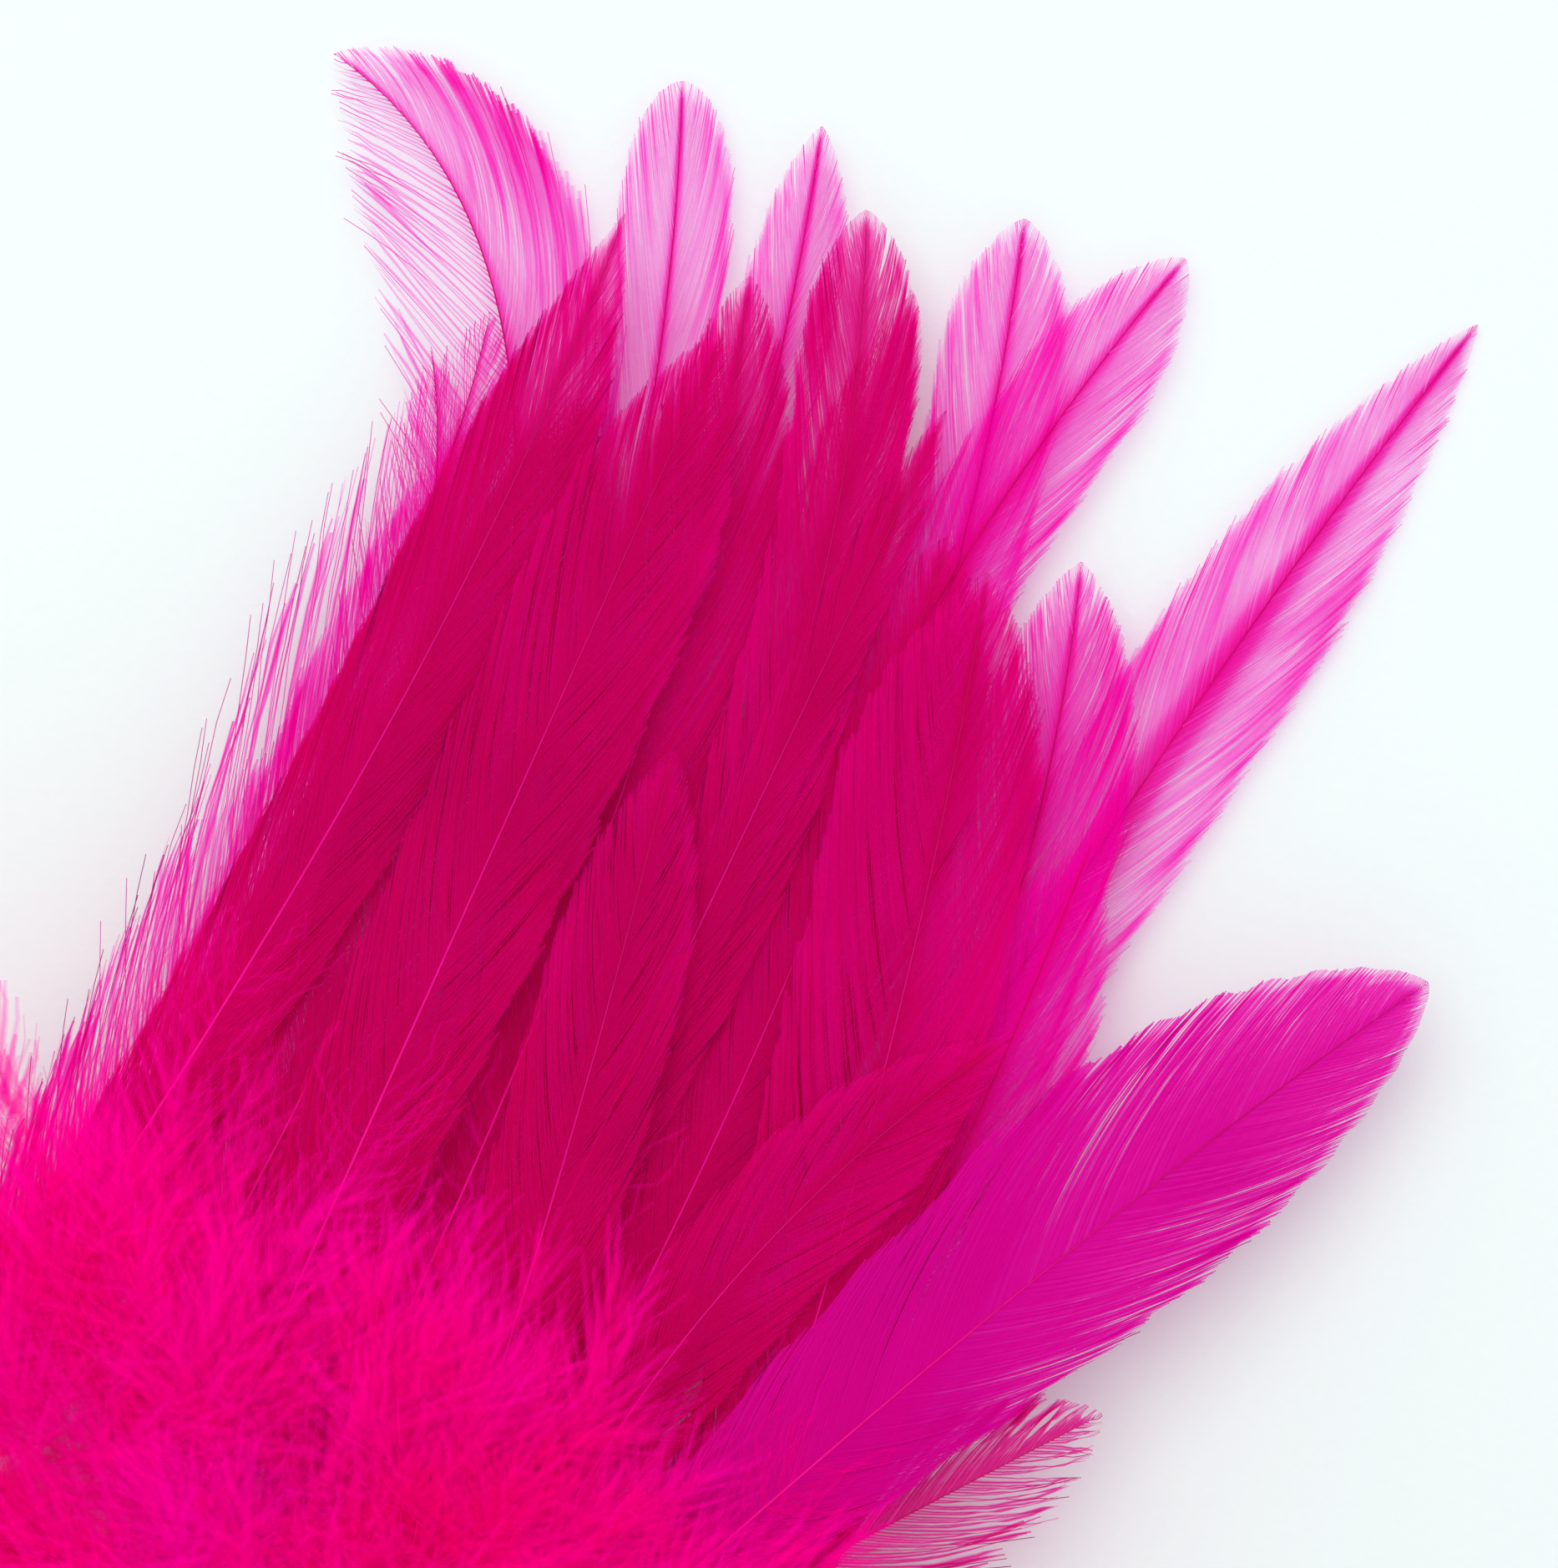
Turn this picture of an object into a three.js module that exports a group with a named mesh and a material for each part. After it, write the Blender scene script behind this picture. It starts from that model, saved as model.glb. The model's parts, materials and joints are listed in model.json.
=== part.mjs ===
import * as THREE from "three";

// A feather boa lying on a table in an open curve: a core cord in segments, a round sleeve of down on each,
// and a tuft of hackle feathers sewn on quill tapes at both ends.
// Millimetres, +Z up, origin on the table under the middle of its footprint.

// the cord and the down round it
const segmentCount = 8;
const segmentLength = 125;
const segmentBend = 21.4; // degrees that the lying boa turns from one segment to the next
const cordRadius = 3;
const cordHeight = 32;
const downRadius = 44;
const downSides = 12;
const boreRadius = 5.5;
const hingeGap = 0.3; // between two cord ends
const downGap = 2.5; // between a hinge and the first down
const slopeRadius = 39; // where the sloped end of a sleeve turns into its shoulder
const slopeLength = 17;
const shoulderLength = 24;
const bluntEnd = 24; // from the quill tapes to the down of an end segment

// the end tufts
const nearHeading = 57.6; // degrees from +X, the way the near tuft points
const tapeDepth = 6;
const tapeTop = 25.8;
const tapeGap = 0.3;
const layerStep = 0.7; // one feather lies in each layer
const bladeThickness = 0.4;
const quillWidth = 1.6;
const quillGap = 0.4;
const nearTapeLength = 92;
const nearPitch = 2.6; // degrees that the tuft slopes down to the table
const farTapeLength = 68;
const farPitch = 7.5;
const farCount = 8;
const knotRadius = 5;
const whippingStart = 8;
const whippingEnd = 16;
const puffFloor = 38.5;
const puffTop = 62;

// Near hackles from left to right on the tape. Each row gives where the quill is sewn on, the pull point of its
// bend, its tip, all across and along the tuft, and then its full width and its layer from the table up.
const nearHackles = [
  { root: -39, bend: [-34, 45], tip: [-41, 84], width: 16, layer: 12 },
  { root: -38, bend: [-36, 80], tip: [-50, 118], width: 19, layer: 8 },
  { root: -36, bend: [-33, 85], tip: [-44, 132.5], width: 13, layer: 19 },
  { root: -32, bend: [-36, 75], tip: [-47, 108], width: 12, layer: 9 },
  { root: -22, bend: [-24, 70], tip: [-38, 116], width: 15, layer: 16 },
  { root: -18, bend: [-34, 92], tip: [-53, 112], width: 13, layer: 3 },
  { root: -11, bend: [-23, 80], tip: [-30, 128], width: 16, layer: 22 },
  { root: -10, bend: [-26.5, 129], tip: [-76, 131], width: 20, layer: 2 },
  { root: -6, bend: [-13, 91], tip: [-46.6, 146.6], width: 10.5, layer: 4 },
  { root: -4, bend: [12, 85], tip: [-25, 145], width: 11, layer: 17 },
  { root: -2, bend: [-10, 90], tip: [-31, 134], width: 14, layer: 13 },
  { root: 2, bend: [-8, 95], tip: [-33, 150], width: 9, layer: 7 },
  { root: 5, bend: [-4, 90], tip: [-17, 141], width: 8, layer: 11 },
  { root: 7, bend: [-2, 80], tip: [-8.5, 133], width: 6, layer: 18 },
  { root: 12, bend: [18, 90], tip: [-12, 153], width: 12, layer: 5 },
  { root: 13, bend: [0, 55], tip: [-13, 92], width: 13, layer: 23 },
  { root: 15, bend: [12, 75], tip: [-2, 123], width: 15, layer: 15 },
  { root: 17, bend: [-6, 95], tip: [3, 158], width: 12, layer: 6 },
  { root: 19, bend: [34, 28], tip: [54, 61], width: 15, layer: 20 },
  { root: 20, bend: [10, 45], tip: [28, 86], width: 13, layer: 24 },
  { root: 21, bend: [39, 66], tip: [58.5, 111.5], width: 24, layer: 25 },
  { root: 30, bend: [22, 95], tip: [30, 168], width: 15, layer: 1 },
  { root: 36, bend: [34, 60], tip: [25, 106], width: 16, layer: 14 },
  { root: 38, bend: [32, 85], tip: [10, 128], width: 16, layer: 10 },
  { root: 40, bend: [24, 74], tip: [3, 122], width: 17, layer: 21 },
];

// Half width of a feather along its length, as parts of the full half width.
const bladeShape = [
  [0.14, 0.72],
  [0.32, 1],
  [0.58, 0.97],
  [0.78, 0.8],
  [0.91, 0.48],
];

const finishes = {
  cord: () => new THREE.MeshStandardMaterial({ color: 0xc8106e, roughness: 0.8, metalness: 0 }),
  thread: () => new THREE.MeshStandardMaterial({ color: 0xa80a58, roughness: 0.6, metalness: 0 }),
  tape: () => new THREE.MeshStandardMaterial({ color: 0xb80c62, roughness: 0.9, metalness: 0 }),
  down: () => new THREE.MeshStandardMaterial({ color: 0xf0188c, roughness: 1, metalness: 0 }),
  hackle: () => new THREE.MeshStandardMaterial({ color: 0xd0107a, roughness: 0.55, metalness: 0 }),
};

const radians = THREE.MathUtils.degToRad;
const boa = new THREE.Group();
const layout = new THREE.Group();
boa.add(layout);

function piece(name, geometry, finish, parent) {
  const mesh = new THREE.Mesh(geometry, finishes[finish]());
  mesh.name = name;
  parent.add(mesh);
  return mesh;
}

function numbered(name, index) {
  return name + "_" + String(index + 1).padStart(2, "0");
}

// A profile of [radius, place] points turned round the X axis, with a flat side underneath.
function turned(profile, sides) {
  const points = profile.map(([radius, place]) => new THREE.Vector2(radius, place));
  const geometry = new THREE.LatheGeometry(points, sides, Math.PI / sides);
  geometry.rotateZ(-Math.PI / 2);
  return geometry;
}

// A cord stretch with round ends, from one place to another on the X axis.
function cordStretch(start, end) {
  const profile = [];
  const capSteps = 3;
  for (let step = 0; step <= capSteps; step++) {
    const angle = (step / capSteps) * (Math.PI / 2);
    profile.push([cordRadius * Math.sin(angle), start + cordRadius * (1 - Math.cos(angle))]);
  }
  for (let step = capSteps; step >= 0; step--) {
    const angle = (step / capSteps) * (Math.PI / 2);
    profile.push([cordRadius * Math.sin(angle), end - cordRadius * (1 - Math.cos(angle))]);
  }
  return turned(profile, 8);
}

// A barrel of down with a bore for the cord. A hinge end slopes away so that neighbours can turn.
function sleeve(bluntStart, bluntStop) {
  const start = bluntStart ? bluntEnd : downGap;
  const stop = segmentLength - (bluntStop ? bluntEnd : downGap);
  const startSlope = bluntStart ? start + 3 : slopeLength;
  const stopSlope = bluntStop ? stop - 3 : segmentLength - slopeLength;
  const startShoulder = bluntStart ? start + 10 : shoulderLength;
  const stopShoulder = bluntStop ? stop - 10 : segmentLength - shoulderLength;
  const geometry = turned(
    [
      [boreRadius, start],
      [slopeRadius, startSlope],
      [downRadius, startShoulder],
      [downRadius, stopShoulder],
      [slopeRadius, stopSlope],
      [boreRadius, stop],
      [boreRadius, start],
    ],
    downSides,
  );
  geometry.scale(1, 1, cordHeight / (downRadius * Math.cos(Math.PI / downSides)));
  return geometry;
}

// A flat feather blade. Its centre line is a curve from the quill to the tip; the sides stand off it.
function blade(root, bend, tip, width) {
  const line = new THREE.QuadraticBezierCurve(
    new THREE.Vector2(0, 0),
    new THREE.Vector2(bend[0] - root, bend[1]),
    new THREE.Vector2(tip[0] - root, tip[1]),
  );
  const side = (place, offset) => {
    const point = line.getPoint(place);
    const along = line.getTangent(place);
    return new THREE.Vector2(point.x + along.y * offset, point.y - along.x * offset);
  };
  const stations = [[0, quillWidth / width], [0.04, quillWidth / width], ...bladeShape];
  const right = stations.map(([place, part]) => side(place, (part * width) / 2));
  const left = stations.map(([place, part]) => side(place, (-part * width) / 2)).reverse();
  const outline = new THREE.Shape([...right, line.getPoint(1), ...left]);
  return new THREE.ExtrudeGeometry(outline, { depth: bladeThickness, bevelEnabled: false });
}

// A low dome of loose down over the sewn quills.
function puff(width, length) {
  const profile = [
    [0, 0],
    [0.94, 0],
    [1, 0.22],
    [0.8, 0.68],
    [0.42, 0.94],
    [0, 1],
  ];
  const points = profile.map(([radius, height]) => new THREE.Vector2(radius, height));
  const geometry = new THREE.LatheGeometry(points, 14);
  geometry.rotateX(Math.PI / 2);
  geometry.scale(width / 2, length / 2, puffTop - puffFloor);
  return geometry;
}

// The knot and the whipping on the cord's end, drawn at x = 0 of an end segment.
function cordEnd(name, parent, inward) {
  const knot = piece("end_knot_" + name, new THREE.SphereGeometry(knotRadius, 10, 8), "cord", parent);
  knot.position.z = cordHeight;
  const inner = cordRadius + tapeGap + 0.1;
  const outer = inner + 1.3;
  const profile = [
    [inner, whippingStart],
    [outer, whippingStart + 0.5],
    [outer, whippingEnd - 0.5],
    [inner, whippingEnd],
    [inner, whippingStart],
  ];
  const whipping = piece("whipping_" + name, turned(profile, 12), "thread", parent);
  whipping.position.z = cordHeight;
  whipping.rotation.z = inward;
}

// Quill tapes with their feathers. Across is the local X, out is the local Y, and the layers climb along Z.
function tuft(name, hackles, tapes, tapeLength, pitch, parent) {
  const slope = new THREE.Group();
  slope.position.z = tapeTop;
  slope.rotation.x = -radians(pitch);
  parent.add(slope);
  const stack = hackles.length * layerStep;
  const tapeHeight = stack / tapes.length;
  tapes.forEach((tapeName, index) => {
    const geometry = new THREE.BoxGeometry(tapeLength, tapeDepth, tapeHeight - tapeGap);
    const tape = piece(tapeName, geometry, "tape", slope);
    tape.position.set(0, -tapeDepth / 2, -stack + (index + 0.5) * tapeHeight);
  });
  hackles.forEach((hackle, index) => {
    const geometry = blade(hackle.root, hackle.bend, hackle.tip, hackle.width);
    const feather = piece(numbered("hackle_" + name, index), geometry, "hackle", slope);
    feather.position.set(hackle.root, quillGap, -stack + (hackle.layer - 1) * layerStep + 0.1);
  });
}

// An even fan of feathers for the far end, alternately long and short.
function farFan() {
  return Array.from({ length: farCount }, (_, index) => {
    const place = index - (farCount - 1) / 2;
    const angle = radians(place * 6);
    const length = index % 2 ? 142 : 126;
    const root = place * 8;
    return {
      root,
      bend: [root + length * 0.5 * Math.sin(angle * 0.4), length * 0.55],
      tip: [root + length * Math.sin(angle), length * Math.cos(angle)],
      width: 17,
      layer: ((index * 3) % farCount) + 1,
    };
  });
}

// Segments are walked from the near tuft; each group's origin is its hinge and its X axis is the cord.
let heading = radians(nearHeading + 180);
const walker = new THREE.Vector3();
for (let index = 0; index < segmentCount; index++) {
  const first = index === 0;
  const last = index === segmentCount - 1;
  const segment = new THREE.Group();
  segment.position.copy(walker);
  segment.rotation.z = heading;
  layout.add(segment);
  const cordStart = first ? knotRadius + hingeGap : hingeGap;
  const cordStop = segmentLength - (last ? knotRadius + hingeGap : hingeGap);
  const cord = piece(numbered("core_cord", index), cordStretch(cordStart, cordStop), "cord", segment);
  cord.position.z = cordHeight;
  const down = piece(numbered("down_sleeve", index), sleeve(first, last), "down", segment);
  down.position.z = cordHeight;
  walker.x += segmentLength * Math.cos(heading);
  walker.y += segmentLength * Math.sin(heading);
  if (!last) heading += radians(segmentBend);
}

const nearEnd = new THREE.Group();
nearEnd.rotation.z = radians(nearHeading - 90);
layout.add(nearEnd);
const nearTapes = ["quill_tape_near_low", "quill_tape_near_mid", "quill_tape_near_top"];
tuft("near", nearHackles, nearTapes, nearTapeLength, nearPitch, nearEnd);
cordEnd("near", nearEnd, -Math.PI / 2);
const nearPuff = piece("down_puff_near", puff(104, 56), "down", nearEnd);
nearPuff.position.set(0, 10, puffFloor);

const farEnd = new THREE.Group();
farEnd.position.copy(walker);
farEnd.rotation.z = heading - Math.PI / 2;
layout.add(farEnd);
tuft("far", farFan(), ["quill_tape_far"], farTapeLength, farPitch, farEnd);
cordEnd("far", farEnd, -Math.PI / 2);
const farPuff = piece("down_puff_far", puff(84, 50), "down", farEnd);
farPuff.position.set(0, 7, puffFloor);

layout.updateMatrixWorld(true);
const footprint = new THREE.Box3().setFromObject(layout, true);
const middle = footprint.getCenter(new THREE.Vector3());
layout.position.set(-middle.x, -middle.y, -footprint.min.z);

export default boa;
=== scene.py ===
import json
import math

import bpy
import numpy as np
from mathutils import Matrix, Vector


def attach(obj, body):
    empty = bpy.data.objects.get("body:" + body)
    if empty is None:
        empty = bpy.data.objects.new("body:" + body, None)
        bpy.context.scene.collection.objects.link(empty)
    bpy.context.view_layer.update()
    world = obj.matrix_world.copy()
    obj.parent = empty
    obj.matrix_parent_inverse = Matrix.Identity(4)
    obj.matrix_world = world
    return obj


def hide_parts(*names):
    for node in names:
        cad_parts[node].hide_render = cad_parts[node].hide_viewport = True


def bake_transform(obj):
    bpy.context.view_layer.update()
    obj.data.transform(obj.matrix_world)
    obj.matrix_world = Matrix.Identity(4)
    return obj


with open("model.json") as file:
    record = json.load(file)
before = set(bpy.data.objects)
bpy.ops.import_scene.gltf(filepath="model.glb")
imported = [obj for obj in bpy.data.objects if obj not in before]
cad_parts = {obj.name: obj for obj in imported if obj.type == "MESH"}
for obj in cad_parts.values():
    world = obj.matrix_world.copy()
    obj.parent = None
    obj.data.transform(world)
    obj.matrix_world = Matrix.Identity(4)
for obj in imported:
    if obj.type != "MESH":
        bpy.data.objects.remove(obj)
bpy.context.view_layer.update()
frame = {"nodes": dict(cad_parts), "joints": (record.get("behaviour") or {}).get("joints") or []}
mm = 0.001
quickPart = 1
floorGap = 0.4 * mm
softFloor = 4 * mm
hinges = {joint["name"]: joint for joint in frame["joints"]}


def unit(vector):
    return vector / np.linalg.norm(vector, axis=-1, keepdims=True)


def anchor(jointName):
    return np.array(hinges[jointName]["pos_m"], float)


# Origin in the middle of the tape, across along the tape, up square to the layers, out = up x across.
def tuftFrame(end, roots):
    first, last = f"splay_{end}_01", f"splay_{end}_{len(roots):02d}"
    up = unit(np.array(hinges[first]["axis"], float))
    across = anchor(last) - anchor(first)
    across = unit(across - up * (across @ up))
    out = np.cross(up, across)
    origin = anchor(first) - across * roots[0] * mm
    return {"origin": origin, "across": across, "out": out, "up": up}


# Flat strips: edge = centre -+ across * half. centre is (strips, steps, 3); u runs across, v along.
def ribbonPart(centre, across, half, tone, slotIndex=0):
    strips, steps = centre.shape[:2]
    offset = across * half[..., None]
    verts = np.stack([centre - offset, centre + offset], axis=2).reshape(-1, 3)
    base = (np.arange(strips)[:, None] * steps + np.arange(steps - 1)[None, :]) * 2
    quads = np.stack([base, base + 1, base + 3, base + 2], axis=-1).reshape(-1, 4)
    along = np.broadcast_to(np.linspace(0, 1, steps), (strips, steps))
    left = np.stack([np.zeros_like(along), along], -1)
    right = np.stack([np.ones_like(along), along], -1)
    uv = np.stack([left, right], 2).reshape(-1, 2)
    tones = np.repeat(np.broadcast_to(tone, (strips, steps)).reshape(-1), 2)
    return {"verts": verts, "quads": quads, "uv": uv, "tone": tones, "slot": slotIndex}


# A tube: point = path + radius * (side * cos(a) + up * sin(a)), drawn to a point at both ends.
def tubePart(path, radius, side, up, sides, tone, slotIndex=0):
    steps = len(path)
    angle = np.arange(sides) / sides * 2 * math.pi
    ring = side[:, None, :] * np.cos(angle)[None, :, None] + up[:, None, :] * np.sin(angle)[None, :, None]
    verts = (path[:, None, :] + ring * radius[:, None, None]).reshape(-1, 3)
    row = np.arange(steps - 1)[:, None] * sides
    here, there = np.arange(sides)[None, :], (np.arange(sides)[None, :] + 1) % sides
    above = row + sides
    quads = np.stack([row + here, row + there, above + there, above + here], -1).reshape(-1, 4)
    uv = np.stack(np.meshgrid(np.arange(sides) / sides, np.linspace(0, 1, steps)), -1).reshape(-1, 2)
    return {"verts": verts, "quads": quads, "uv": uv, "tone": np.full(len(verts), tone), "slot": slotIndex}


# One mesh object from parts; UV on every corner, tone on every point.
def pieceFrom(name, parts, materials, smooth=True):
    sizes = np.cumsum([0] + [len(part["verts"]) for part in parts])
    verts = np.concatenate([part["verts"] for part in parts])
    quads = np.concatenate([part["quads"] + start for part, start in zip(parts, sizes)])
    slots = np.concatenate([np.full(len(part["quads"]), part["slot"]) for part in parts])
    uv = np.concatenate([part["uv"] for part in parts])
    tone = np.concatenate([part["tone"] for part in parts])
    mesh = bpy.data.meshes.new(name)
    mesh.vertices.add(len(verts))
    mesh.vertices.foreach_set("co", verts.astype(np.float32).ravel())
    mesh.loops.add(quads.size)
    mesh.loops.foreach_set("vertex_index", quads.astype(np.int32).ravel())
    mesh.polygons.add(len(quads))
    mesh.polygons.foreach_set("loop_start", np.arange(0, quads.size, 4, dtype=np.int32))
    mesh.polygons.foreach_set("material_index", slots.astype(np.int32))
    mesh.polygons.foreach_set("use_smooth", np.full(len(quads), smooth))
    mesh.update(calc_edges=True)
    layer = mesh.uv_layers.new(name="UVMap")
    layer.data.foreach_set("uv", uv[quads.ravel()].astype(np.float32).ravel())
    mesh.attributes.new("tone", "FLOAT", "POINT").data.foreach_set("value", tone.astype(np.float32))
    for material in materials:
        mesh.materials.append(material)
    piece = bpy.data.objects.new(name, mesh)
    bpy.context.scene.collection.objects.link(piece)
    return piece


def newMaterial(name):
    material = bpy.data.materials.new(name)
    material.use_nodes = True
    tree = material.node_tree
    tree.nodes.clear()
    output = tree.nodes.new("ShaderNodeOutputMaterial")
    return material, tree, output


def link(tree, source, target):
    tree.links.new(source, target)


def mathNode(tree, operation, first, second=None, clamp=False):
    node = tree.nodes.new("ShaderNodeMath")
    node.operation = operation
    node.use_clamp = clamp
    for socket, value in zip(node.inputs, (first, second)):
        if value is None:
            continue
        if isinstance(value, (int, float)):
            socket.default_value = value
        else:
            link(tree, value, socket)
    return node.outputs[0]


def mixColour(tree, amount, first, second):
    node = tree.nodes.new("ShaderNodeMix")
    node.data_type = "RGBA"
    link(tree, amount, node.inputs[0])
    for socket, value in ((node.inputs[6], first), (node.inputs[7], second)):
        if isinstance(value, tuple):
            socket.default_value = value
        else:
            link(tree, value, socket)
    return node.outputs[2]


# ridge = 1 - |2u - 1|, soft = ridge^2 * (3 - 2 * ridge).
# depth = tone and shadeAndPatch = tone - 1, both kept within 0 to 1; shadeAndPatch is painted shade on barbs
# that stand on edge, and also dye patches that push the tone past 1.
# cover = soft * (paleCover + (deepCover - paleCover) * depth) + shaftCover * ridge^6 + 0.7 * shadeAndPatch *
# ridge.
# filter = white to (pale to deep by depth) by soft; body = (pale to deep by depth) to dark by shadeAndPatch.
def dyeGroup():
    group = bpy.data.node_groups.new("featherDye", "ShaderNodeTree")
    sockets = group.interface
    for name in ("Across", "Tone", "Pale Cover", "Deep Cover", "Shaft Cover"):
        sockets.new_socket(name, in_out="INPUT", socket_type="NodeSocketFloat")
    for name in ("Pale Filter", "Deep Filter", "Pale Body", "Deep Body", "Dark Body"):
        sockets.new_socket(name, in_out="INPUT", socket_type="NodeSocketColor")
    for name in ("Filter", "Body"):
        sockets.new_socket(name, in_out="OUTPUT", socket_type="NodeSocketColor")
    sockets.new_socket("Cover", in_out="OUTPUT", socket_type="NodeSocketFloat")
    inside, outside = group.nodes.new("NodeGroupInput"), group.nodes.new("NodeGroupOutput")
    ways = inside.outputs
    doubled = mathNode(group, "SUBTRACT", mathNode(group, "MULTIPLY", ways["Across"], 2.0), 1.0)
    ridge = mathNode(group, "SUBTRACT", 1.0, mathNode(group, "ABSOLUTE", doubled), clamp=True)
    square = mathNode(group, "MULTIPLY", ridge, ridge)
    slope = mathNode(group, "SUBTRACT", 3.0, mathNode(group, "MULTIPLY", ridge, 2.0))
    soft = mathNode(group, "MULTIPLY", square, slope)
    depth = mathNode(group, "ADD", ways["Tone"], 0.0, clamp=True)
    shadeAndPatch = mathNode(group, "SUBTRACT", ways["Tone"], 1.0, clamp=True)
    growth = mathNode(group, "SUBTRACT", ways["Deep Cover"], ways["Pale Cover"])
    gain = mathNode(group, "MULTIPLY", growth, depth)
    film = mathNode(group, "MULTIPLY", soft, mathNode(group, "ADD", ways["Pale Cover"], gain))
    shaft = mathNode(group, "MULTIPLY", ways["Shaft Cover"], mathNode(group, "POWER", ridge, 6.0))
    strand = mathNode(group, "MULTIPLY", mathNode(group, "MULTIPLY", shadeAndPatch, ridge), 0.7)
    cover = mathNode(group, "ADD", mathNode(group, "ADD", film, shaft), strand, clamp=True)
    link(group, cover, outside.inputs["Cover"])
    tint = mixColour(group, depth, ways["Pale Filter"], ways["Deep Filter"])
    link(group, mixColour(group, soft, (1, 1, 1, 1), tint), outside.inputs["Filter"])
    dyed = mixColour(group, depth, ways["Pale Body"], ways["Deep Body"])
    link(group, mixColour(group, shadeAndPatch, dyed, ways["Dark Body"]), outside.inputs["Body"])
    return group


# A display colour, 0 to 255 each, as linear light.
def colour(red, green, blue):
    parts = np.array([red, green, blue], float) / 255
    linear = np.where(parts <= 0.04045, parts / 12.92, ((parts + 0.055) / 1.055) ** 2.4)
    return (*linear, 1.0)


# Light goes through a tinted film or is scattered by the barb, which also gives off a painted glow in its
# body colour: surface = film * (1 - cover) + (barb + painted glow) * cover.
# The dye takes unevenly: tone + patchAmount * (noise - 0.5), with patches about 1 / patchScale metres wide.
def featherMaterial(name, dye, look):
    material, tree, output = newMaterial(name)
    uvMap = tree.nodes.new("ShaderNodeUVMap")
    uvMap.uv_map = "UVMap"
    split = tree.nodes.new("ShaderNodeSeparateXYZ")
    link(tree, uvMap.outputs[0], split.inputs[0])
    tone = tree.nodes.new("ShaderNodeAttribute")
    tone.attribute_name = "tone"
    spot = tree.nodes.new("ShaderNodeTexCoord")
    patches = tree.nodes.new("ShaderNodeTexNoise")
    patches.inputs["Scale"].default_value = look["patchScale"]
    link(tree, spot.outputs["Object"], patches.inputs["Vector"])
    offMiddle = mathNode(tree, "SUBTRACT", patches.outputs["Fac"], 0.5)
    uneven = mathNode(tree, "MULTIPLY", offMiddle, look["patchAmount"])
    group = tree.nodes.new("ShaderNodeGroup")
    group.node_tree = dye
    link(tree, split.outputs["X"], group.inputs["Across"])
    link(tree, mathNode(tree, "ADD", tone.outputs["Fac"], uneven), group.inputs["Tone"])
    for use, shades in (("Cover", ("pale", "deep", "shaft")), ("Filter", ("pale", "deep")),
                        ("Body", ("pale", "deep", "dark"))):
        for shade in shades:
            group.inputs[shade.title() + " " + use].default_value = look[shade + use]
    film = tree.nodes.new("ShaderNodeBsdfTransparent")
    link(tree, group.outputs["Filter"], film.inputs["Color"])
    barb = tree.nodes.new("ShaderNodeBsdfPrincipled")
    link(tree, group.outputs["Body"], barb.inputs["Base Color"])
    barb.inputs["Roughness"].default_value = look["roughness"]
    barb.inputs["Specular IOR Level"].default_value = look["specular"]
    # painted glow: the barb also emits its body colour at paintedGlow strength, standing in for light
    # scattered many times inside the down
    link(tree, group.outputs["Body"], barb.inputs["Emission Color"])
    barb.inputs["Emission Strength"].default_value = look["paintedGlow"]
    mix = tree.nodes.new("ShaderNodeMixShader")
    link(tree, group.outputs["Cover"], mix.inputs["Fac"])
    link(tree, film.outputs[0], mix.inputs[1])
    link(tree, barb.outputs[0], mix.inputs[2])
    link(tree, mix.outputs[0], output.inputs["Surface"])
    return material


# A bump from a height socket, for the Normal of the surface.
def bumpFrom(tree, height, distance):
    bump = tree.nodes.new("ShaderNodeBump")
    bump.inputs["Distance"].default_value = distance
    link(tree, height, bump.inputs["Height"])
    return bump.outputs[0]


def noiseAt(tree, scale):
    place = tree.nodes.new("ShaderNodeTexCoord")
    noise = tree.nodes.new("ShaderNodeTexNoise")
    noise.inputs["Scale"].default_value = scale
    link(tree, place.outputs["Object"], noise.inputs["Vector"])
    return noise.outputs["Fac"]


# Colour and height are mixed by amount; the surface is matt unless roughness says otherwise.
def mixedMaterial(name, first, second, roughness, recipe, bumpHeight):
    material, tree, output = newMaterial(name)
    amount = recipe(tree)
    surface = tree.nodes.new("ShaderNodeBsdfPrincipled")
    link(tree, mixColour(tree, amount, first, second), surface.inputs["Base Color"])
    surface.inputs["Roughness"].default_value = roughness
    surface.inputs["Specular IOR Level"].default_value = 0.08
    link(tree, bumpFrom(tree, amount, bumpHeight), surface.inputs["Normal"])
    link(tree, surface.outputs[0], output.inputs["Surface"])
    return material


# Two sets of threads that cross: amount = wave(x + y) * wave(x - y), roughened by noise.
def weave(scale):
    def recipe(tree):
        place = tree.nodes.new("ShaderNodeTexCoord")
        waves = []
        for turn in (0.8, -0.8):
            mapping = tree.nodes.new("ShaderNodeMapping")
            mapping.inputs["Rotation"].default_value = (0.3, 0.2, turn)
            link(tree, place.outputs["Object"], mapping.inputs["Vector"])
            wave = tree.nodes.new("ShaderNodeTexWave")
            wave.inputs["Scale"].default_value = scale
            wave.inputs["Distortion"].default_value = 0.6
            link(tree, mapping.outputs[0], wave.inputs["Vector"])
            waves.append(wave.outputs["Fac"])
        crossed = mathNode(tree, "MULTIPLY", waves[0], waves[1])
        return mathNode(tree, "MULTIPLY", mathNode(tree, "ADD", crossed, noiseAt(tree, 900)), 0.6, clamp=True)
    return recipe


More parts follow.
